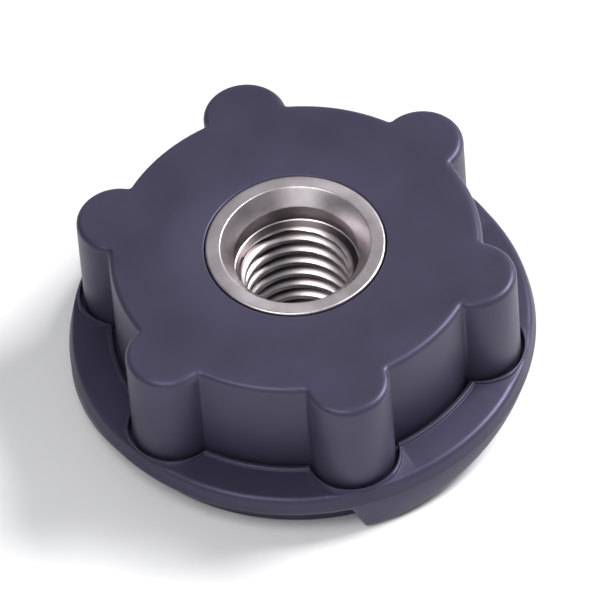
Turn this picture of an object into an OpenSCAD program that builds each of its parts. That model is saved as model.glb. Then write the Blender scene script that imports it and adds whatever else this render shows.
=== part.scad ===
// Six-lobed hand nut with a free-spinning steel thrust ring.
// It stands on its three underside pads at z = 0, thread axis on Z, lobed grip upwards.
// Millimetres.

/* [Grip knob] */
// Height of the flat top of the knob above the pads
knob_top = 22.4; // [20:0.2:30]
// Radius of the round body between the lobes
body_r = 24.2; // [23.9:0.1:26]
// Distance from the axis to the centre of each lobe
lobe_centre = 23.7; // [22:0.1:25]
// Radius of each lobe
lobe_r = 5.5; // [4:0.1:6]
// Thickness of the top plate
plate_t = 3.0; // [2:0.2:4]
// Inner radius of the lobed skirt
skirt_in = 21.5; // [20:0.1:22]
// Outer radius of the hub tube
hub_r = 16.4; // [15:0.1:18]
// Thickness of the ribs that frame the pads
rib_t = 4.5; // [2:0.1:6]
// Depth of the hub face below the pads, between the pads
hub_drop = 6.0; // [3:0.1:6]

/* [Ramp flange] */
// Largest radius of the flange
flange_r = 30.5; // [30.2:0.1:34]
// Radius at the upper edge of the flange wall
flange_top_r = 30.1; // [30:0.1:34]
// Height of the flange ledge above the pads
ledge_z = 7.5; // [7:0.1:10]
// Depth of the lobed recess the knob stands in
recess_d = 1.2; // [0.6:0.1:2]
// Broken edge round the upper edge of the flange
rim_edge = 0.4; // [0.3:0.1:0.4]
// Clearance round the knob in that recess
joint_gap = 0.4; // [0.1:0.05:0.45]
// Inner radius of the flange ring
ring_in = 23.4; // [22.5:0.1:24]
// Outer radius of the pads
pad_r = 27.7; // [26:0.1:29]
// Corner radius at the leading end of each pad
pad_corner = 3.0; // [1:0.5:4.5]
// Rise of each ramp, which is also the height of the pads
ramp_rise = 4.5; // [1:0.1:5]
// Angle by which the raised rim runs on past the end of a pad
run_on = 1; // [0:1:10]
// Half the length of each ramp, measured along a straight line
ramp_half = 11.2; // [8:0.1:12]
// Length of the short slope at the other end of each recess
end_run = 1.6; // [1:0.1:3]

/* [Threaded sleeve] */
// Minor radius of the thread, 5/8 inch coarse
minor_r = 6.75; // [6.7:0.01:6.9]
// Radius of the shank
shank_r = 9.55; // [9.4:0.05:9.8]
// Radius of the collar on top
collar_r = 11.7; // [11.4:0.1:12.5]
// Thickness of the collar
collar_t = 2.7; // [2:0.1:4]
// Height of the collar face above the knob face
collar_proud = 0.2; // [0:0.1:1]
// Radius of the countersink mouth
sink_r = 9.8; // [9:0.1:10.5]
// Radius of the plain lead-in above the thread
lead_r = 8.15; // [8:0.05:8.6]
// Depth of the first thread below the collar face
lead_d = 4.6; // [3:0.1:6]
// Across flats of the driving hexagon under the collar
hex_af = 19.7; // [19.5:0.1:20]
// Length of the driving hexagon
hex_len = 6.0; // [4:0.5:8]

/* [Thrust ring] */
// Outer radius, one inch diameter
thrust_r = 12.7; // [12.5:0.1:12.8]
// Radial clearance between the thrust ring and the sleeve
running_gap = 0.05; // [0.02:0.01:0.09]
// Height of the thrust ring face above the pads
thrust_z = 1.4; // [0.5:0.1:2]
// Height of the hub floor above the pads
thrust_floor = 8.4; // [7:0.1:9]
// Inner radius of the lip
lip_r = 11.15; // [11:0.05:11.4]
// Height at which the inner flange of the ring starts
web_z = 4.0; // [3.5:0.1:5]

/* [Snap ring] */
// Thickness of the retaining ring
snap_t = 1.1; // [0.8:0.1:1.2]
// Outer radius of the retaining ring
snap_r = 10.7; // [10.4:0.05:10.8]
// Radius at the bottom of its groove in the sleeve
groove_r = 8.8; // [8.7:0.05:9.1]
// Opening angle of the retaining ring
snap_open = 58; // [20:1:90]
// Direction the opening faces
snap_dir = 238; // [0:1:359]

/* [Hidden] */
$fn = 96;
// small fixed sizes: edges, chamfers and the play between neighbours
collar_edge = 0.3;
ring_edge = 0.35;
sink_d = 2.2;
mouth_r = 8.45;
hex_play = 0.1;
collar_play = 0.15;
rib_play = 0.05;
snap_float = 0.05;
thrust_play = 0.1;
chamber_play = 0.4;
// how far cutting and joining shapes run past the faces they meet
bite = 0.5;
over = 1;
reach = 60;
// derived heights, radii and angles
foot_z = ledge_z - recess_d;
collar_top = knob_top + collar_proud;
collar_under = collar_top - collar_t;
hex_corner = hex_af / 2 / cos(30);
chamber_r = thrust_r + chamber_play;
snap_z = web_z - snap_float - snap_t;
end_a = 120 - run_on;
plastic = [0.11, 0.11, 0.13];
flange_plastic = [0.14, 0.14, 0.16];
steel = [0.78, 0.78, 0.80];
spring_steel = [0.20, 0.19, 0.19];

// A point at distance d out along direction a, and s to the left of that line.
function beside(a, d, s) = [d * cos(a) - s * sin(a), d * sin(a) + s * cos(a)];

// A drum with a broken upper edge.
module soft_drum(r, z0, z1, e) {
    rotate_extrude()
        polygon([
            [0, z0],
            [r, z0],
            [r, z1 - e],
            [r - e, z1],
            [0, z1]
        ]);
}

// Plan of a ring between two radii.
module ring_plan(r_out, r_in) {
    difference() {
        circle(r = r_out);
        circle(r = r_in);
    }
}

// Plan of a wedge from angle a0 to angle a1, less than 90 degrees wide.
module wedge_plan(a0, a1, r) {
    polygon([
        [0, 0],
        [r * cos(a0), r * sin(a0)],
        [r * 1.3 * cos((a0 + a1) / 2), r * 1.3 * sin((a0 + a1) / 2)],
        [r * cos(a1), r * sin(a1)]
    ]);
}

// Plan of the knob: round body and six lobes, grown by g.
module lobed_plan(g) {
    circle(r = body_r + g);
    for (i = [0:5])
        rotate(60 * i)
            translate([lobe_centre, 0])
                circle(r = lobe_r + g);
}

// The solid outside of the knob above its foot.
module knob_envelope() {
    translate([0, 0, foot_z - over])
        linear_extrude(knob_top - foot_z + over)
            lobed_plan(0);
}

// Everything below the foot of the knob and inside its skirt.
module skirt_cut() {
    rotate_extrude()
        polygon([
            [0, foot_z - 2 * over],
            [reach, foot_z - 2 * over],
            [reach, foot_z],
            [skirt_in, foot_z],
            [skirt_in, knob_top - plate_t],
            [0, knob_top - plate_t]
        ]);
}

// Ribs at both sides of one pad, between 60 and 120 degrees.
module rib_pair() {
    linear_extrude(knob_top - plate_t + bite)
        intersection() {
            circle(r = ring_in - rib_play);
            union() {
                rotate(60)
                    translate([hub_r - over, 0])
                        square([ring_in, rib_t]);
                rotate(120)
                    translate([hub_r - over, -rib_t])
                        square([ring_in, rib_t]);
            }
        }
}

module grip_knob() {
    color(plastic)
        difference() {
            union() {
                difference() {
                    knob_envelope();
                    skirt_cut();
                }
                cylinder(r = hub_r, h = knob_top - plate_t + bite);
                for (i = [0:2])
                    rotate([0, 0, 120 * i])
                        rib_pair();
            }
            // the hub stands back between the pads
            for (i = [0:2])
                rotate([0, 0, 120 * i])
                    translate([0, 0, -over])
                        linear_extrude(hub_drop + over)
                            wedge_plan(0, 60, hub_r + 1.6 * over);
            // chamber for the thrust ring
            translate([0, 0, -over])
                cylinder(r = chamber_r, h = thrust_floor + over);
            // bore, hexagon pocket and counterbore for the sleeve
            cylinder(r = shank_r + hex_play, h = knob_top + over);
            translate([0, 0, collar_under - hex_len])
                cylinder(r = hex_corner + hex_play, h = hex_len + over, $fn = 6);
            translate([0, 0, collar_under])
                cylinder(r = collar_r + collar_play, h = collar_t + over);
        }
}

// Plan of one pad, from its leading side at 60 degrees, with a rounded leading corner.
module pad_plan() {
    corner_at = pad_r - pad_corner;
    corner_a = asin(pad_corner / corner_at);
    difference() {
        intersection() {
            circle(r = pad_r);
            wedge_plan(60, 125, reach);
        }
        difference() {
            rotate(60 + corner_a)
                translate([corner_at, 0])
                    polygon([
                        [0, 0],
                        beside(-90 - corner_a, pad_corner + over, 0),
                        [pad_corner + 4 * over, -pad_corner - 4 * over],
                        [pad_corner + over, 0]
                    ]);
            rotate(60 + corner_a)
                translate([corner_at, 0])
                    circle(r = pad_corner);
        }
    }
}

// Plan of one recess: from before a ramp, round the pad, to just past the next rim's start.
module recess_plan() {
    near = ring_in / 2;
    start = -ramp_half - 2.8;
    difference() {
        polygon([
            beside(30, near, start),
            beside(30, 0.75 * reach, start),
            beside(45, 0.9 * reach, 0),
            beside(80, 0.9 * reach, 0),
            beside(end_a, 0.75 * reach, over),
            beside(end_a, near, over)
        ]);
        pad_plan();
    }
}

// One recess with its long ramp at one end and a short slope at the other.
module recess_cut() {
    steep = ramp_rise / end_run;
    slow = ramp_rise / (2 * ramp_half);
    before = 6 * over;
    after = 2 * over;
    difference() {
        translate([0, 0, -over])
            linear_extrude(ramp_rise + over)
                recess_plan();
        // what stays above the long ramp
        rotate([0, 0, 30])
            rotate([90, 0, 90])
                linear_extrude(reach)
                    polygon([
                        [-ramp_half - before, -before * slow],
                        [ramp_half + after, ramp_rise + after * slow],
                        [ramp_half + after, 2 * ramp_rise],
                        [-ramp_half - before, 2 * ramp_rise]
                    ]);
        // what stays beyond the short slope
        rotate([0, 0, end_a])
            rotate([90, 0, 90])
                linear_extrude(reach)
                    polygon([
                        [-end_run - bite, ramp_rise + bite * steep],
                        [0.8 * over, -0.8 * over * steep],
                        [before, -0.8 * over * steep],
                        [before, ramp_rise + bite * steep]
                    ]);
    }
}

module ramp_flange() {
    color(flange_plastic)
        difference() {
            rotate_extrude()
                polygon([
                    [ring_in, 0],
                    [flange_r, 0],
                    [flange_r, ramp_rise + bite],
                    [flange_top_r, ledge_z - rim_edge],
                    [flange_top_r - rim_edge, ledge_z],
                    [ring_in, ledge_z]
                ]);
            for (i = [0:2])
                rotate([0, 0, 120 * i])
                    recess_cut();
            translate([0, 0, foot_z])
                linear_extrude(ledge_z)
                    lobed_plan(joint_gap);
        }
}

module threaded_sleeve() {
    color(steel)
        difference() {
            union() {
                cylinder(r = shank_r, h = collar_under + collar_edge);
                translate([0, 0, collar_under - hex_len + collar_edge])
                    cylinder(r = hex_corner, h = hex_len, $fn = 6);
                soft_drum(collar_r, collar_under, collar_top, collar_edge);
            }
            translate([0, 0, -over])
                cylinder(r = minor_r, h = collar_top + 2 * over);
            // plain lead-in and countersink on top
            translate([0, 0, collar_top - lead_d])
                cylinder(r = lead_r, h = lead_d + over);
            translate([0, 0, collar_top - sink_d])
                cylinder(r1 = lead_r, r2 = sink_r, h = sink_d);
            // chamfer at the lower mouth
            translate([0, 0, -0.001])
                cylinder(r1 = mouth_r, r2 = minor_r, h = mouth_r - minor_r);
            // groove for the retaining ring
            translate([0, 0, snap_z - snap_float])
                linear_extrude(snap_t + 2 * snap_float)
                    ring_plan(shank_r + over, groove_r);
        }
}

module thrust_ring() {
    color(steel)
        difference() {
            union() {
                translate([0, 0, thrust_z + ring_edge])
                    cylinder(r = thrust_r, h = thrust_floor - thrust_play - thrust_z - ring_edge);
                translate([0, 0, thrust_z])
                    cylinder(r1 = thrust_r - ring_edge, r2 = thrust_r, h = ring_edge);
            }
            cylinder(r = shank_r + running_gap, h = thrust_floor + over);
            cylinder(r = lip_r, h = web_z);
        }
}

module snap_ring() {
    inner_r = groove_r + snap_float;
    mid_r = (snap_r + inner_r) / 2;
    tip_r = (snap_r - inner_r) / 2;
    plier_r = 0.4;
    color(spring_steel)
        translate([0, 0, snap_z])
            linear_extrude(snap_t)
                difference() {
                    union() {
                        difference() {
                            ring_plan(snap_r, inner_r);
                            wedge_plan(snap_dir - snap_open / 2, snap_dir + snap_open / 2, 2 * snap_r);
                        }
                        for (s = [-1, 1])
                            rotate(snap_dir + s * snap_open / 2)
                                translate([mid_r, 0])
                                    circle(r = tip_r);
                    }
                    for (s = [-1, 1])
                        rotate(snap_dir + s * (snap_open / 2 + 3))
                            translate([mid_r, 0])
                                circle(r = plier_r);
                }
}

grip_knob();
ramp_flange();
threaded_sleeve();
thrust_ring();
snap_ring();
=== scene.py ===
"""A six-lobed moulded hand nut with a turned steel sleeve, dressed for rendering around its CAD frame."""

import math

import bmesh
import bpy
from mathutils import Matrix, Quaternion, Vector


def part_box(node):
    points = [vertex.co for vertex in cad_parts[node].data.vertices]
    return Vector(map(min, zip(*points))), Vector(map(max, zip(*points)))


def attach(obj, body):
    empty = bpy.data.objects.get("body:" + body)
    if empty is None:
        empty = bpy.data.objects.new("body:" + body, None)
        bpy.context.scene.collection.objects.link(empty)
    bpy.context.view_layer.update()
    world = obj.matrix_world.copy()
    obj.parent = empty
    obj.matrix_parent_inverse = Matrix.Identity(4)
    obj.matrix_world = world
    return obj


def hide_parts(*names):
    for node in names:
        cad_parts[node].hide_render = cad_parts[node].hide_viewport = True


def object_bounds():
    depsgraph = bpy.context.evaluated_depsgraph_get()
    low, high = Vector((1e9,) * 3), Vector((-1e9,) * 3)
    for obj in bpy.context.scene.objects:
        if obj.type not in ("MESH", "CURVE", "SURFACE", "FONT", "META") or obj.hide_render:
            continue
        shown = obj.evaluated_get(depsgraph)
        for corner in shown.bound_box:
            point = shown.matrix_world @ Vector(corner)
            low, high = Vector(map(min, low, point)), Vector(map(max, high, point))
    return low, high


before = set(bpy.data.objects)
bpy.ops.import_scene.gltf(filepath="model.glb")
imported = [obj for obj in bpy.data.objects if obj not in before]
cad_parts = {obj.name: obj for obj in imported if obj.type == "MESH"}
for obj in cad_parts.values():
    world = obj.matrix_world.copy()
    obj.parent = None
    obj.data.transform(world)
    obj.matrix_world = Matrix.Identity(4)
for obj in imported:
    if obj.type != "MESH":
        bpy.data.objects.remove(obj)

CAD_LOW, CAD_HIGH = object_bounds()
MM = 0.001


def mm(metres):
    return metres / MM


# ---------------------------------------------------------------- sizes, in millimetres

KNOB_TOP = mm(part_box("grip_knob")[1].z)
LOBE_TIP = mm(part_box("grip_knob")[1].x)
FLANGE_R = mm(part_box("ramp_flange")[1].x)
LEDGE_Z = mm(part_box("ramp_flange")[1].z)
COLLAR_TOP = mm(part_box("threaded_sleeve")[1].z)
COLLAR_R = mm(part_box("threaded_sleeve")[1].x)
THRUST_R = mm(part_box("thrust_ring")[1].x)
THRUST_LOW = mm(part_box("thrust_ring")[0].z)
THRUST_HIGH = mm(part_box("thrust_ring")[1].z)
SNAP_LOW = mm(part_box("snap_ring")[0].z)
SNAP_HIGH = mm(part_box("snap_ring")[1].z)

# The grip knob: plan, skirt, hub, chamber and ribs.
LOBES = 6
LOBE_TURN = 360 / LOBES
LOBE_R = 5.5
LOBE_CENTRE = LOBE_TIP - LOBE_R
BODY_R = 24.2
LOBE_FILLET = 0.45
TOP_ROUND = 0.9
FOOT_ROUND = 0.25
SKIN_REACH = 1.4
FOOT_Z = LEDGE_Z - 1.2
SKIRT_IN = 21.5
SKIRT_JOIN = 22.2
PLATE_JOIN = 18.0
PLATE_UNDER = KNOB_TOP - 3.0
PLATE_ROOT = 0.8
HOLE_R = COLLAR_R + 0.15
HOLE_EDGE = 0.2
HUB_R = 16.4
HUB_TOP = KNOB_TOP - 2.5
HUB_FACE = 6.0
CHAMBER_R = 13.1
CHAMBER_Z = 8.4
CHAMBER_ROOT = 0.3
CHAMBER_EDGE = 0.25
HUB_EDGE = 0.3
RIB_T = 4.5
RIB_CORNER = 0.7
RIB_SINK = 0.4

# The ramp flange: ring, pads, ramps, ledge and the bead round the recess.
SECTOR_STARTS = (60, 180, 300)
SECTOR = 120
FLANGE_TOP_R = FLANGE_R - 0.4
RING_IN = 23.4
RING_EDGE = 0.15
RIB_SEAM_R = RING_IN - 0.35
PAD_R = 27.7
PAD_IN = RING_IN + 0.03
PAD_CORNER = 3.0
PAD_TAIL = 61.5
PAD_SINK = 0.6
PAD_SEAM_R = RING_IN + 0.2
PAD_JOIN_FROM = 118.8
PAD_JOIN_TO = 5
RISE = 4.5
RUN_ON = 1.0
RAMP_HALF = 11.2
RAMP_MIDDLE = 30
RAMP_SPAN = 85
RAMP_BLEND = 0.2
END_RUN = 1.6
END_BLEND = 0.7
FLOOR_LOW = 0.02
FLOOR_MARGIN = 1.6
FLOOR_CUTS = 7
RIM_ROUND = 0.45
RIM_ROUND_GAIN = 0.9
BAND_Z = 5.2
BAND_ROUND = 0.1
JOINT_GAP = 0.48
BEAD_W = 0.8
BEAD_H = 0.25
CREST_PART = 0.72
LEDGE_DROP = 0.3
LEDGE_ROUND = 1.0
EDGE = 0.4

# The threaded sleeve: a 5/8-11 thread, mouths, shank, hexagon and collar.
PITCH = 25.4 / 11
MINOR_R = 6.75
MAJOR_R = 7.94
SHANK_R = 9.55
SHANK_EDGE = 0.2
SINK_R = 9.8
SINK_D = 2.2
SINK_EDGE = 0.25
SINK_ROOT = 0.5
LEAD_R = 8.15
LEAD_D = 4.6
LEAD_SLOPE = 1.4
BORE_TOP = COLLAR_TOP - LEAD_D
MOUTH_R = 8.45
COLLAR_UNDER = COLLAR_TOP - 2.7
COLLAR_EDGE = 0.3
COLLAR_ROOT = 0.2
HEX_FLAT = 19.7 / 2
HEX_STEP = 0.1
HEX_START = COLLAR_UNDER - 5.7
GROOVE_R = 8.8
GROOVE_LOW = SNAP_LOW - 0.05
GROOVE_HIGH = SNAP_HIGH + 0.05
GROOVE_EDGE = 0.08

# The thrust ring and the snap ring.
RING_BORE = SHANK_R + 0.05
LIP_R = 11.15
WEB_Z = 4.0
SNAP_R = 10.7
SNAP_IN = 8.85
SNAP_OPEN = 58
SNAP_DIR = 238
SNAP_EDGE = 0.15


# ---------------------------------------------------------------- mesh helpers

def polar(r, angle, z=0.0):
    """A point from its radius and its angle in degrees."""
    a = math.radians(angle)
    return Vector((r * math.cos(a), r * math.sin(a), z))


def rounded(corners, closed=False, steps=5):
    """A polyline through (x, y, radius) corners, with each corner rounded to its radius."""
    out = []
    n = len(corners)
    for i, (x, y, r) in enumerate(corners):
        here = Vector((x, y))
        if r <= 0 or (not closed and i in (0, n - 1)):
            out.append((x, y))
            continue
        before = Vector(corners[i - 1][:2])
        after = Vector(corners[(i + 1) % n][:2])
        u = (before - here).normalized()
        v = (after - here).normalized()
        half = u.angle(v) / 2
        reach = r / math.tan(half)
        centre = here + (u + v).normalized() * (r / math.sin(half))
        start = here + u * reach - centre
        end = here + v * reach - centre
        turn = start.angle_signed(end)
        for k in range(steps + 1):
            p = centre + Matrix.Rotation(-turn * k / steps, 2) @ start
            out.append((p.x, p.y))
    return out


def skin(rings, closed):
    """Points and quads between successive rings; closed joins the last ring to the first."""
    n = len(rings[0])
    points = [p for ring in rings for p in ring]
    faces = []
    for i in range(len(rings) if closed else len(rings) - 1):
        j = (i + 1) % len(rings)
        for k in range(n):
            m = (k + 1) % n
            faces.append((i * n + k, i * n + m, j * n + m, j * n + k))
    return points, faces


def circle_ring(r, z, angles):
    return [polar(r, a, z) for a in angles]


def even_angles(count):
    return [360 * k / count for k in range(count)]


def revolve(corners, count=180, steps=5):
    """A closed ring turned from a closed (radius, height, rounding) section."""
    angles = even_angles(count)
    section = rounded(corners, closed=True, steps=steps)
    return skin([circle_ring(r, z, angles) for r, z in section], True)


def new_object(name, points, faces, smooth=32):
    """A mesh object, in metres, from points in millimetres, with outward normals."""
    mesh = bpy.data.meshes.new(name)
    mesh.from_pydata([Vector(p) * MM for p in points], [], faces)
    tidy_mesh(mesh, smooth)
    obj = bpy.data.objects.new(name, mesh)
    bpy.context.scene.collection.objects.link(obj)
    return obj


def tidy_mesh(mesh, smooth):
    """Merges doubled points, turns every face outwards and shades smooth below an angle."""
    bm = bmesh.new()
    bm.from_mesh(mesh)
    bmesh.ops.remove_doubles(bm, verts=bm.verts, dist=2e-7)
    bmesh.ops.dissolve_degenerate(bm, edges=bm.edges, dist=2e-7)
    bmesh.ops.recalc_face_normals(bm, faces=bm.faces)
    bm.to_mesh(mesh)
    bm.free()
    mesh.shade_smooth()
    mesh.set_sharp_from_angle(angle=math.radians(smooth))


def prism(name, outline, z0, z1, rounding, keep_sharp=None, steps=3):
    """An upright prism with its lower rim rounded, except where keep_sharp(midpoint) is true."""
    bm = bmesh.new()
    low = [bm.verts.new((x * MM, y * MM, z0 * MM)) for x, y in outline]
    high = [bm.verts.new((x * MM, y * MM, z1 * MM)) for x, y in outline]
    bm.faces.new(list(reversed(low)))
    bm.faces.new(high)
    n = len(outline)
    for i in range(n):
        j = (i + 1) % n
        bm.faces.new((low[i], low[j], high[j], high[i]))
    bmesh.ops.recalc_face_normals(bm, faces=bm.faces)
    bm.normal_update()
    rim = []
    for i in range(n):
        a, b = low[i], low[(i + 1) % n]
        middle = (a.co + b.co) / 2 / MM
        if keep_sharp is None or not keep_sharp(middle):
            rim.append(bm.edges.get((a, b)))
    bmesh.ops.bevel(
        bm, geom=rim, offset=rounding * MM, segments=steps, profile=0.5, affect="EDGES"
    )
    bmesh.ops.recalc_face_normals(bm, faces=bm.faces)
    mesh = bpy.data.meshes.new(name)
    bm.to_mesh(mesh)
    bm.free()
    obj = bpy.data.objects.new(name, mesh)
    bpy.context.scene.collection.objects.link(obj)
    return obj


def fuse(base, others, smooth=32):
    """Joins closed solids into one watertight mesh and removes the originals."""
    for other in others:
        step = base.modifiers.new("join", "BOOLEAN")
        step.operation = "UNION"
        step.solver = "MANIFOLD"
        step.object = other
    graph = bpy.context.evaluated_depsgraph_get()
    joined = bpy.data.meshes.new_from_object(base.evaluated_get(graph))
    base.modifiers.clear()
    base.data = joined
    for other in others:
        bpy.data.objects.remove(other)
    tidy_mesh(joined, smooth)
    return base


def mark_edges(obj):
    """Stores how sharply the surface turns outwards at each point, 0 to 1, as a point attribute: the
    plastic's mask for its painted edge highlight and its polished edges.
    """
    flat, full = math.radians(6), math.radians(30)
    mesh = obj.data
    bm = bmesh.new()
    bm.from_mesh(mesh)
    bm.verts.ensure_lookup_table()
    value = [0.0] * len(bm.verts)
    for edge in bm.edges:
        if len(edge.link_faces) != 2:
            continue
        turn = edge.calc_face_angle_signed(0.0)
        if turn <= flat:
            continue
        for vert in edge.verts:
            value[vert.index] = max(value[vert.index], min(1.0, turn / full))
    bm.free()
    layer = mesh.attributes.new("edge_highlight_and_polish", "FLOAT", "POINT")
    layer.data.foreach_set("value", value)


def finish_piece(obj, node, body, material):
    obj.data.materials.clear()
    obj.data.materials.append(material)
    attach(obj, body)
    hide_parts(node)


# ---------------------------------------------------------------- the grip knob

def lobed_outline(grow, lobe_steps=36, fillet_steps=5, body_steps=12):
    """Plan of the knob grown by an amount: one round body, six lobes and small fillets between them."""
    to_fillet = BODY_R + LOBE_FILLET
    lobe_to_fillet = LOBE_R + LOBE_FILLET
    cosine = (to_fillet ** 2 + LOBE_CENTRE ** 2 - lobe_to_fillet ** 2) / (2 * to_fillet * LOBE_CENTRE)
    at = math.degrees(math.acos(cosine))
    centre = polar(to_fillet, at)
    lean = math.degrees(math.atan2(centre.y, centre.x - LOBE_CENTRE))
    lobe = LOBE_R + grow
    fillet = LOBE_FILLET - grow
    one = []
    for k in range(lobe_steps + 1):
        one.append(Vector((LOBE_CENTRE, 0, 0)) + polar(lobe, -lean + 2 * lean * k / lobe_steps))
    for k in range(1, fillet_steps + 1):
        turn = lean + 180 + (at - lean) * k / fillet_steps
        one.append(centre + polar(fillet, turn))
    for k in range(1, body_steps):
        one.append(polar(BODY_R + grow, at + (LOBE_TURN - 2 * at) * k / body_steps))
    for k in range(fillet_steps):
        turn = lean + 180 + (at - lean) * (1 - k / fillet_steps)
        p = centre + polar(fillet, turn)
        one.append(Matrix.Rotation(math.radians(LOBE_TURN), 3, "Z") @ Vector((p.x, -p.y, 0)))
    out = []
    for i in range(LOBES):
        spin = Matrix.Rotation(math.radians(LOBE_TURN * i), 3, "Z")
        out.extend(spin @ p for p in one)
    return out


def lifted(outline, z):
    return [Vector((p.x, p.y, z)) for p in outline]


def knob_shell():
    """Lobed skirt and top plate, hollow underneath, with the hole for the hub."""
    base = lobed_outline(0)
    angles = [math.degrees(math.atan2(p.y, p.x)) for p in base]
    outside = rounded([
        (-SKIN_REACH, FOOT_Z, 0),
        (0, FOOT_Z, FOOT_ROUND),
        (0, KNOB_TOP, TOP_ROUND),
        (-SKIN_REACH, KNOB_TOP, 0),
    ], steps=7)
    rings = [lifted(lobed_outline(grow), z) for grow, z in outside]
    inside = rounded([
        (PLATE_JOIN, KNOB_TOP, 0),
        (HOLE_R, KNOB_TOP, HOLE_EDGE),
        (HOLE_R, PLATE_UNDER, 0),
        (SKIRT_IN, PLATE_UNDER, PLATE_ROOT),
        (SKIRT_IN, FOOT_Z, HOLE_EDGE),
        (SKIRT_JOIN, FOOT_Z, 0),
    ], steps=4)
    rings += [circle_ring(r, z, angles) for r, z in inside]
    return new_object("knob_shell", *skin(rings, True))


def hub_tube():
    """Hub round the sleeve, open below as a chamber for the thrust ring."""
    bore = SHANK_R + 0.1
    return new_object("hub_tube", *revolve([
        (HUB_R, HUB_TOP, 0),
        (bore, HUB_TOP, 0),
        (bore, CHAMBER_Z, 0),
        (CHAMBER_R, CHAMBER_Z, CHAMBER_ROOT),
        (CHAMBER_R, HUB_FACE, CHAMBER_EDGE),
        (HUB_R, HUB_FACE, HUB_EDGE),
    ], steps=3))


def rib_outline(sector):
    """Plan of the hub stretch and two ribs that frame one pad, starting at angle sector."""
    hub_in = CHAMBER_R + 0.05
    hub_out = HUB_R - 0.05
    tip = RING_IN - 0.1

    def rib_side(r):
        """Angle at which the inner side of the rib passes radius r."""
        return math.degrees(math.asin(RIB_T / r))

    far = LOBE_TURN - rib_side(hub_out)
    near = rib_side(hub_out)
    path = []
    for k in range(25):
        path.append((polar(hub_in, LOBE_TURN * k / 24), 0))
    for k in range(9):
        path.append((polar(tip, LOBE_TURN - rib_side(tip) * k / 8), 0))
    path.append((polar(hub_out, far), RIB_CORNER))
    for k in range(3, 14):  # the hub between the ribs, clear of the rounded corners
        path.append((polar(hub_out, far - (LOBE_TURN - 2 * near) * k / 16), 0))
    path.append((polar(hub_out, near), RIB_CORNER))
    for k in range(9):
        path.append((polar(tip, rib_side(tip) * (1 - k / 8)), 0))
    flat = rounded([(p.x, p.y, r) for p, r in path], closed=True, steps=4)
    spin = Matrix.Rotation(math.radians(sector), 3, "Z")
    return [tuple((spin @ Vector((x, y, 0)))[:2]) for x, y in flat]


def at_ring_seam(middle):
    return Vector(middle[:2]).length > RIB_SEAM_R


def build_knob(material):
    ribs = []
    for sector in SECTOR_STARTS:
        outline = rib_outline(sector)
        ribs.append(prism(f"ribs_{sector}", outline, 0, PLATE_UNDER + RIB_SINK, EDGE, at_ring_seam))
    knob = fuse(knob_shell(), [hub_tube()] + ribs)
    knob.name = knob.data.name = "knob_moulding"
    mark_edges(knob)
    finish_piece(knob, "grip_knob", "nut", material)


# ---------------------------------------------------------------- the ramp flange

def soft_clamp(value, low, high, blend):
    """Clamps a value with rounded corners."""
    def soft_max(a, b):
        h = max(blend - abs(a - b), 0) / blend
        return max(a, b) + h * h * blend / 4
    return -soft_max(-soft_max(value, low), -high)


def rim_floor(r, angle):
    """Height of the rim's lower face above the pads: ramp, recess, short slope, and so on."""
    t = angle % SECTOR
    if t < RAMP_SPAN:
        along = r * math.sin(math.radians(t - RAMP_MIDDLE))
        return soft_clamp((along + RAMP_HALF) / (2 * RAMP_HALF) * RISE, FLOOR_LOW, RISE, RAMP_BLEND)
    along = r * math.sin(math.radians(t - (SECTOR - RUN_ON)))
    return soft_clamp(-along / END_RUN * RISE, FLOOR_LOW, RISE, END_BLEND)


def radius_at(outline, angle):
    """Radius of a closed star-shaped outline, given as sorted (angle, radius) pairs."""
    angle %= 360
    low, high = 0, len(outline) - 1
    while high - low > 1:
        mid = (low + high) // 2
        if outline[mid][0] <= angle:
            low = mid
        else:
            high = mid
    (a0, r0), (a1, r1) = outline[low], outline[high]
    return r0 if a1 == a0 else r0 + (r1 - r0) * (angle - a0) / (a1 - a0)


def sorted_outline(grow):
    """The knob's plan as sorted (angle, radius) pairs that run a little past a full turn."""
    plan = lobed_outline(grow, 60, 8, 20)
    pairs = sorted((math.degrees(math.atan2(p.y, p.x)) % 360, p.to_2d().length) for p in plan)
    return [(pairs[-1][0] - 360, pairs[-1][1])] + pairs + [(pairs[0][0] + 360, pairs[0][1])]


def flange_angles():
    """Directions of the flange's sections: even ones, close ones at ramp ends, and the knob plan's."""
    angles = {round(1.5 * k, 3) for k in range(240)}
    for i in range(3):
        angles |= {round(SECTOR * i + 113 + 0.25 * k, 3) % 360 for k in range(37)}
    for p in lobed_outline(JOINT_GAP):
        angles.add(round(math.degrees(math.atan2(p.y, p.x)) % 360, 3))
    return sorted(angles)


def flange_section(angle, recess_r):
    """Section of the ring in one direction, from its inner foot round the outside to the recess."""
    inner, outer = rim_floor(RING_IN, angle), rim_floor(FLANGE_R, angle)
    room = FLANGE_TOP_R - recess_r
    bead = min(BEAD_W, 0.5 * room)
    crest = LEDGE_Z + BEAD_H * bead / BEAD_W
    low_round = RIM_ROUND + RIM_ROUND_GAIN * (1 - outer / RISE)
    floor_end = FLANGE_R - FLOOR_MARGIN
    section = [(RING_IN, FOOT_Z), (RING_IN, inner + RING_EDGE), (RING_IN + RING_EDGE, inner)]
    for k in range(1, FLOOR_CUTS):
        r = RING_IN + (floor_end - RING_IN) * k / FLOOR_CUTS
        section.append((r, rim_floor(r, angle)))
    return section + rounded([
        (floor_end, rim_floor(floor_end, angle), 0),
        (FLANGE_R, outer, low_round),
        (FLANGE_R, BAND_Z, BAND_ROUND),
        (FLANGE_TOP_R, LEDGE_Z - LEDGE_DROP, min(LEDGE_ROUND, 0.4 * room)),
        (recess_r + bead, LEDGE_Z - LEDGE_DROP * bead / room, 0.25 * bead),
        (recess_r + CREST_PART * bead, crest, 0.4 * bead),
        (recess_r, crest, 0.3 * bead),
        (recess_r, FOOT_Z, 0),
    ], steps=4)


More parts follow.
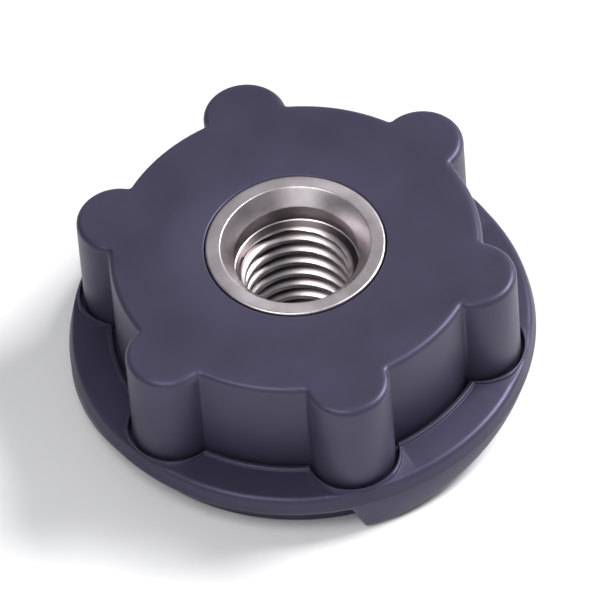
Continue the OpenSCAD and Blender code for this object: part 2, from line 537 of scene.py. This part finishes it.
def flange_body():
    """The ring, section by section: beaded ledge, lobed recess, wall and the rim with its ramps."""
    recess = sorted_outline(JOINT_GAP)
    sections = []
    for angle in flange_angles():
        section = flange_section(angle, radius_at(recess, angle))
        sections.append([polar(r, angle, z) for r, z in section])
    return new_object("flange_body", *skin(sections, True))


def pad_outline(sector, steps=30):
    """Plan of one pad arc, with a rounded leading corner."""
    first = math.degrees(math.asin(PAD_CORNER / (PAD_R - PAD_CORNER)))
    centre = polar(PAD_R - PAD_CORNER, first)
    points = [centre + polar(PAD_CORNER, -90 + (90 + first) * k / 8) for k in range(9)]
    for k in range(1, steps + 1):
        turn = PAD_TAIL * k / steps
        if turn > first + 0.5:
            points.append(polar(PAD_R, turn))
    points += [polar(PAD_IN, PAD_TAIL * (1 - k / steps)) for k in range(steps + 1)]
    spin = Matrix.Rotation(math.radians(sector), 3, "Z")
    return [tuple((spin @ Vector((p.x, p.y, 0)))[:2]) for p in points]


def joins_ring_or_ribs(middle):
    angle = math.degrees(math.atan2(middle.y, middle.x)) % SECTOR
    return Vector(middle[:2]).length < PAD_SEAM_R or angle > PAD_JOIN_FROM or angle < PAD_JOIN_TO


def build_flange(material):
    pads = []
    for sector in SECTOR_STARTS:
        outline = pad_outline(sector)
        pads.append(prism(f"pad_{sector}", outline, 0, RISE + PAD_SINK, EDGE, joins_ring_or_ribs))
    flange = fuse(flange_body(), pads)
    flange.name = flange.data.name = "flange_moulding"
    mark_edges(flange)
    finish_piece(flange, "ramp_flange", "nut", material)


# ---------------------------------------------------------------- the threaded sleeve

def thread_radius(phase):
    """Radius of the internal thread across one pitch, phase 0 to 1: crest, flank, root, flank."""
    phase %= 1
    crest, flank, root = 0.25, 0.3125, 0.125
    if phase < crest:
        return MINOR_R
    if phase < crest + flank:
        return MINOR_R + (MAJOR_R - MINOR_R) * (phase - crest) / flank
    if phase < crest + flank + root:
        return MAJOR_R
    return MAJOR_R - (MAJOR_R - MINOR_R) * (phase - crest - flank - root) / flank


def smooth_thread(phase):
    spread = 0.035
    return (thread_radius(phase - spread) + 2 * thread_radius(phase) + thread_radius(phase + spread)) / 4


# Places across one pitch where the bore has points, closer together at the thread's corners.
THREAD_PHASES = (
    0.0, 0.06, 0.125, 0.19, 0.235, 0.265, 0.33, 0.406, 0.48,
    0.545, 0.58, 0.625, 0.67, 0.705, 0.77, 0.844, 0.92, 0.975,
)


def bore_radius(z, phase):
    """Bore radius: the thread, opened by the mouth chamfers at both ends."""
    lower_mouth = MOUTH_R - z
    upper_mouth = LEAD_R - (BORE_TOP - z) * LEAD_SLOPE
    return max(smooth_thread(phase), lower_mouth, upper_mouth)


def thread_skin(angles):
    """Points and quads of the helical bore; the last column meets the first one a pitch higher."""
    count = len(angles)
    turns = int(BORE_TOP / PITCH) + 3
    points = []
    for angle in angles:
        for turn in range(-1, turns):
            for phase in THREAD_PHASES:
                z = min(max(PITCH * (turn + phase + angle / 360), 0.0), BORE_TOP)
                points.append(polar(bore_radius(z, z / PITCH - angle / 360), angle, z))
    size = len(points) // count
    shift = len(THREAD_PHASES)
    faces = []
    for i in range(count):
        j = (i + 1) % count
        step = shift if j == 0 else 0
        for k in range(size - 1 - step):
            faces.append((i * size + k, i * size + k + 1, j * size + k + 1 + step, j * size + k + step))
    return points, faces


def sleeve_mesh(count=180):
    """Outside of the sleeve as rings, its bore as a true helical thread, joined into one closed skin."""
    angles = even_angles(count)
    points, faces = thread_skin(angles)
    lower = rounded([
        (MOUTH_R, 0, 0),
        (SHANK_R, 0, SHANK_EDGE),
        (SHANK_R, GROOVE_LOW, GROOVE_EDGE),
        (GROOVE_R, GROOVE_LOW, GROOVE_EDGE),
        (GROOVE_R, GROOVE_HIGH, GROOVE_EDGE),
        (SHANK_R, GROOVE_HIGH, GROOVE_EDGE),
        (SHANK_R, HEX_START, 0),
    ], steps=3)
    upper = rounded([
        (HEX_FLAT - HEX_STEP, COLLAR_UNDER, 0),
        (COLLAR_R, COLLAR_UNDER, COLLAR_ROOT),
        (COLLAR_R, COLLAR_TOP, COLLAR_EDGE),
        (SINK_R, COLLAR_TOP, SINK_EDGE),
        (LEAD_R, COLLAR_TOP - SINK_D, SINK_ROOT),
        (LEAD_R, BORE_TOP, 0),
    ], steps=4)

    def hex_ring(z):
        return [polar(HEX_FLAT / math.cos(math.radians(a % 60 - 30)), a, z) for a in angles]

    rings = [circle_ring(r, z, angles) for r, z in lower]
    rings += [hex_ring(HEX_START), hex_ring(COLLAR_UNDER)]
    rings += [circle_ring(r, z, angles) for r, z in upper]
    more_points, more_faces = skin(rings, False)
    base = len(points)
    return points + more_points, faces + [tuple(base + i for i in f) for f in more_faces]


def build_sleeve(material):
    sleeve = new_object("sleeve_turned", *sleeve_mesh(), smooth=28)
    mark_edges(sleeve)
    finish_piece(sleeve, "threaded_sleeve", "nut", material)


# ---------------------------------------------------------------- thrust ring and snap ring

def build_thrust_ring(material):
    ring = new_object("thrust_ring_turned", *revolve([
        (THRUST_R, THRUST_HIGH, 0.25),
        (RING_BORE, THRUST_HIGH, 0.15),
        (RING_BORE, WEB_Z, 0.1),
        (LIP_R, WEB_Z, 0.2),
        (LIP_R, THRUST_LOW, 0.25),
        (THRUST_R, THRUST_LOW, 0.4),
    ], steps=5))
    mark_edges(ring)
    finish_piece(ring, "thrust_ring", "thrust_ring", material)


def snap_outline():
    """Plan of the open retaining ring, with rounded ends."""
    half = SNAP_OPEN / 2
    middle = (SNAP_R + SNAP_IN) / 2
    tip = (SNAP_R - SNAP_IN) / 2
    span = 360 - SNAP_OPEN
    out = [polar(SNAP_R, SNAP_DIR + half + span * k / 120) for k in range(121)]
    end = polar(middle, SNAP_DIR - half)
    out += [end + polar(tip, SNAP_DIR - half + 180 * k / 8) for k in range(1, 8)]
    out += [polar(SNAP_IN, SNAP_DIR - half - span * k / 120) for k in range(121)]
    end = polar(middle, SNAP_DIR + half)
    out += [end + polar(tip, SNAP_DIR + half + 180 + 180 * k / 8) for k in range(1, 8)]
    return [(p.x, p.y) for p in out]


def build_snap_ring(material):
    ring = prism("snap_ring_wire", snap_outline(), SNAP_LOW, SNAP_HIGH, SNAP_EDGE)
    tidy_mesh(ring.data, 35)
    mark_edges(ring)
    finish_piece(ring, "snap_ring", "nut", material)


# ---------------------------------------------------------------- materials

class Nodes:
    """Short calls for building a node material."""

    def __init__(self, name):
        self.material = bpy.data.materials.new(name)
        self.material.use_nodes = True
        self.tree = self.material.node_tree
        self.shader = self.tree.nodes["Principled BSDF"]

    def add(self, kind, **settings):
        node = self.tree.nodes.new(kind)
        for key, value in settings.items():
            setattr(node, key, value)
        return node

    def link(self, output, node_input):
        self.tree.links.new(output, node_input)

    def place(self):
        return self.add("ShaderNodeTexCoord").outputs["Object"]

    def noise(self, vector, scale, detail=3.0, roughness=0.55):
        node = self.add("ShaderNodeTexNoise")
        node.inputs["Scale"].default_value = scale
        node.inputs["Detail"].default_value = detail
        node.inputs["Roughness"].default_value = roughness
        self.link(vector, node.inputs["Vector"])
        return node.outputs["Fac"]

    def ramp(self, value, stops):
        node = self.add("ShaderNodeValToRGB")
        while len(node.color_ramp.elements) < len(stops):
            node.color_ramp.elements.new(0.5)
        for element, (place, colour) in zip(node.color_ramp.elements, stops):
            element.position = place
            element.color = (*colour, 1)
        self.link(value, node.inputs["Fac"])
        return node.outputs["Color"]

    def span(self, value, low, high):
        node = self.add("ShaderNodeMapRange")
        node.inputs["To Min"].default_value = low
        node.inputs["To Max"].default_value = high
        self.link(value, node.inputs["Value"])
        return node.outputs["Result"]

    def math(self, operation, a, b):
        node = self.add("ShaderNodeMath", operation=operation)
        for socket, value in zip(node.inputs, (a, b)):
            if isinstance(value, (int, float)):
                socket.default_value = value
            else:
                self.link(value, socket)
        return node.outputs[0]

    def mix(self, factor, a, b):
        """Blends an output towards a plain colour."""
        node = self.add("ShaderNodeMix", data_type="RGBA")
        self.link(factor, node.inputs[0])
        self.link(a, node.inputs[6])
        node.inputs[7].default_value = (*b, 1)
        return node.outputs[2]

    def multiply(self, a, b):
        node = self.add("ShaderNodeMix", data_type="RGBA", blend_type="MULTIPLY")
        node.inputs[0].default_value = 1.0
        self.link(a, node.inputs[6])
        self.link(b, node.inputs[7])
        return node.outputs[2]

    def bump(self, height, strength, distance, normal=None):
        node = self.add("ShaderNodeBump")
        node.inputs["Strength"].default_value = strength
        node.inputs["Distance"].default_value = distance
        self.link(height, node.inputs["Height"])
        if normal is not None:
            self.link(normal, node.inputs["Normal"])
        return node.outputs["Normal"]

    # The edge mask used for the painted edge highlight and the polished edges.
    def edge_highlight_and_polish(self):
        return self.add("ShaderNodeAttribute", attribute_name="edge_highlight_and_polish").outputs["Fac"]


VIOLET_SHEEN = (0.70, 0.64, 1.0, 1)
EDGE_HIGHLIGHT_COLOUR = (0.085, 0.075, 0.12)


def moulded_plastic(name, dark, light):
    """Black glass-filled plastic with a violet cast: fine spark texture, faint flow, and sharp edges
    polished and lightened in colour as a painted highlight.
    """
    m = Nodes(name)
    place = m.place()
    flow = m.noise(place, 90, 4.0)
    grain = m.noise(place, 4200, 2.0, 0.6)
    pores = m.noise(place, 1500, 3.0, 0.6)
    colour = m.ramp(flow, ((0.3, dark), (0.7, light)))
    highlight_and_polish = m.edge_highlight_and_polish()
    # Painted highlight: the colour is lightened towards a pale violet at sharp outward edges.
    colour = m.mix(m.math("MULTIPLY", highlight_and_polish, 0.35), colour, EDGE_HIGHLIGHT_COLOUR)
    m.link(colour, m.shader.inputs["Base Color"])
    rough = m.span(m.noise(place, 260, 4.0), 0.40, 0.52)
    rough = m.math("SUBTRACT", rough, m.math("MULTIPLY", highlight_and_polish, 0.10))
    m.link(rough, m.shader.inputs["Roughness"])
    soft = m.bump(flow, 0.25, 0.00012)
    fine = m.bump(pores, 0.18, 0.00005, soft)
    m.link(m.bump(grain, 0.22, 0.00003, fine), m.shader.inputs["Normal"])
    m.shader.inputs["IOR"].default_value = 1.5
    m.shader.inputs["Specular Tint"].default_value = VIOLET_SHEEN
    return m.material


def thread_root_shade(m, radius):
    """Painted shade in the thread: darkens its roots and flanks, and leaves its crests and the surfaces
    beyond the bore untouched.
    """
    share = m.add("ShaderNodeMapRange")
    share.inputs["From Min"].default_value = MINOR_R * MM
    share.inputs["From Max"].default_value = LEAD_R * MM
    m.link(radius, share.inputs["Value"])
    unshaded, root_shade = (1, 1, 1), (0.10, 0.09, 0.09)
    stops = ((0.10, unshaded), (0.45, root_shade), (0.88, root_shade), (0.96, unshaded))
    return m.ramp(share.outputs["Result"], stops)


def turned_metal(name, dark, light, rough_low, rough_high, anisotropy):
    """Bare steel with concentric tool marks: noise that varies with radius and height only."""
    m = Nodes(name)
    place = m.place()
    flat = m.add("ShaderNodeVectorMath", operation="MULTIPLY")
    flat.inputs[1].default_value = (1, 1, 0)
    m.link(place, flat.inputs[0])
    length = m.add("ShaderNodeVectorMath", operation="LENGTH")
    m.link(flat.outputs["Vector"], length.inputs[0])
    parts = m.add("ShaderNodeSeparateXYZ")
    m.link(place, parts.inputs[0])
    joined = m.add("ShaderNodeCombineXYZ")
    m.link(length.outputs["Value"], joined.inputs[0])
    m.link(parts.outputs["Z"], joined.inputs[1])
    marks = m.noise(joined.outputs[0], 5200, 2.0, 0.5)
    bands = m.noise(joined.outputs[0], 1100, 2.0, 0.5)
    stains = m.noise(place, 300, 4.0)
    colour = m.ramp(stains, ((0.25, dark), (0.75, light)))
    # Painted shade: the thread's roots and flanks are darkened.
    colour = m.multiply(colour, thread_root_shade(m, length.outputs["Value"]))
    m.link(colour, m.shader.inputs["Base Color"])
    m.shader.inputs["Metallic"].default_value = 1.0
    uneven = m.math("ADD", m.math("MULTIPLY", bands, 0.6), m.math("MULTIPLY", stains, 0.4))
    m.link(m.span(uneven, rough_low, rough_high), m.shader.inputs["Roughness"])
    m.shader.inputs["Anisotropic"].default_value = anisotropy
    tangent = m.add("ShaderNodeTangent", direction_type="RADIAL", axis="Z")
    m.link(tangent.outputs[0], m.shader.inputs["Tangent"])
    broad = m.bump(bands, 0.12, 0.00004)
    m.link(m.bump(marks, 0.25, 0.00002, broad), m.shader.inputs["Normal"])
    return m.material


def spring_metal():
    """Dark oiled spring steel."""
    m = Nodes("spring_steel")
    place = m.place()
    dark, light = (0.022, 0.020, 0.022), (0.060, 0.056, 0.058)
    colour = m.ramp(m.noise(place, 700, 4.0), ((0.3, dark), (0.7, light)))
    m.link(colour, m.shader.inputs["Base Color"])
    m.shader.inputs["Metallic"].default_value = 1.0
    m.link(m.span(m.noise(place, 1500, 3.0), 0.32, 0.5), m.shader.inputs["Roughness"])
    m.link(m.bump(m.noise(place, 3000, 2.0), 0.2, 0.00002), m.shader.inputs["Normal"])
    return m.material


# ---------------------------------------------------------------- floor, light and camera (metres, degrees)

FLOOR_SIZE = 4
FLOOR_DROP = 0.02 * MM
LIGHT_TARGET = Vector((0, 0, 0.01))
VIEW_AZIMUTH = 77.5
VIEW_ELEVATION = 50.3
VIEW_ROLL = 4.8
FRAME_WIDTH = 0.078
FOCAL_LENGTH = 600
SENSOR_WIDTH = 36


def build_stage():
    bpy.ops.mesh.primitive_plane_add(size=FLOOR_SIZE, location=(0, 0, -FLOOR_DROP))
    floor = bpy.context.active_object
    floor.name = "floor"
    m = Nodes("floor_paper")
    m.shader.inputs["Base Color"].default_value = (0.86, 0.86, 0.86, 1)
    m.shader.inputs["Roughness"].default_value = 0.9
    floor.data.materials.append(m.material)


def soft_box(name, place, size, power):
    """An area light that points at the object."""
    light = bpy.data.lights.new(name, "AREA")
    light.shape = "RECTANGLE"
    light.size, light.size_y = size
    light.energy = power
    obj = bpy.data.objects.new(name, light)
    obj.location = place
    obj.rotation_mode = "QUATERNION"
    obj.rotation_quaternion = (LIGHT_TARGET - place).to_track_quat("-Z", "Y")
    bpy.context.scene.collection.objects.link(obj)


def light_scene():
    world = bpy.data.worlds.new("studio")
    world.use_nodes = True
    background = world.node_tree.nodes["Background"]
    background.inputs["Color"].default_value = (0.92, 0.93, 1.0, 1)
    background.inputs["Strength"].default_value = 0.20
    bpy.context.scene.world = world
    toward, right = camera_axes()
    up = Vector((0, 0, 1))
    soft_box("key", right * 0.40 - toward * 0.16 + up * 0.42, (0.25, 0.25), 5.5)
    soft_box("top", toward * 0.10 - right * 0.06 + up * 0.18, (0.10, 0.10), 0.22)
    soft_box("front", toward * 0.50 - right * 0.10 + up * 0.22, (0.50, 0.30), 0.35)
    soft_box("back", -toward * 0.40 - right * 0.05 + up * 0.50, (0.50, 0.30), 0.20)


def camera_axes():
    """Level directions from the object towards the camera and to the camera's right."""
    a = math.radians(VIEW_AZIMUTH)
    toward = Vector((math.sin(a), -math.cos(a), 0))
    right = Vector((math.cos(a), math.sin(a), 0))
    return toward, right


def build_camera():
    camera = bpy.data.cameras.new("camera")
    camera.lens = FOCAL_LENGTH
    camera.sensor_width = SENSOR_WIDTH
    distance = FRAME_WIDTH * FOCAL_LENGTH / SENSOR_WIDTH
    obj = bpy.data.objects.new("camera", camera)
    toward, _ = camera_axes()
    e = math.radians(VIEW_ELEVATION)
    back = toward * math.cos(e) + Vector((0, 0, math.sin(e)))
    target = Vector((0, 0, (CAD_LOW.z + CAD_HIGH.z) / 2))
    obj.location = target + back * distance
    obj.rotation_mode = "QUATERNION"
    level = (-back).to_track_quat("-Z", "Y")
    obj.rotation_quaternion = level @ Quaternion((0, 0, 1), math.radians(-VIEW_ROLL))
    camera.clip_start = 0.01
    camera.clip_end = 10
    bpy.context.scene.collection.objects.link(obj)
    bpy.context.scene.camera = obj


# ---------------------------------------------------------------- the scene

knob_plastic = moulded_plastic("knob_plastic", (0.024, 0.022, 0.038), (0.034, 0.031, 0.053))
# The flange's copy of the same plastic is darker than the knob's: painted shade, standing in for the shade
# on its ledge beside the knob.
flange_plastic = moulded_plastic("flange_plastic", (0.019, 0.017, 0.032), (0.028, 0.025, 0.045))
turned_steel = turned_metal("turned_steel", (0.50, 0.44, 0.44), (0.72, 0.68, 0.72), 0.22, 0.42, 0.5)
ring_steel = turned_metal("ring_steel", (0.58, 0.56, 0.59), (0.74, 0.71, 0.75), 0.20, 0.38, 0.5)

build_knob(knob_plastic)
build_flange(flange_plastic)
build_sleeve(turned_steel)
build_thrust_ring(ring_steel)
build_snap_ring(spring_metal())
build_stage()
build_camera()
light_scene()
bpy.context.scene.view_settings.view_transform = "Standard"
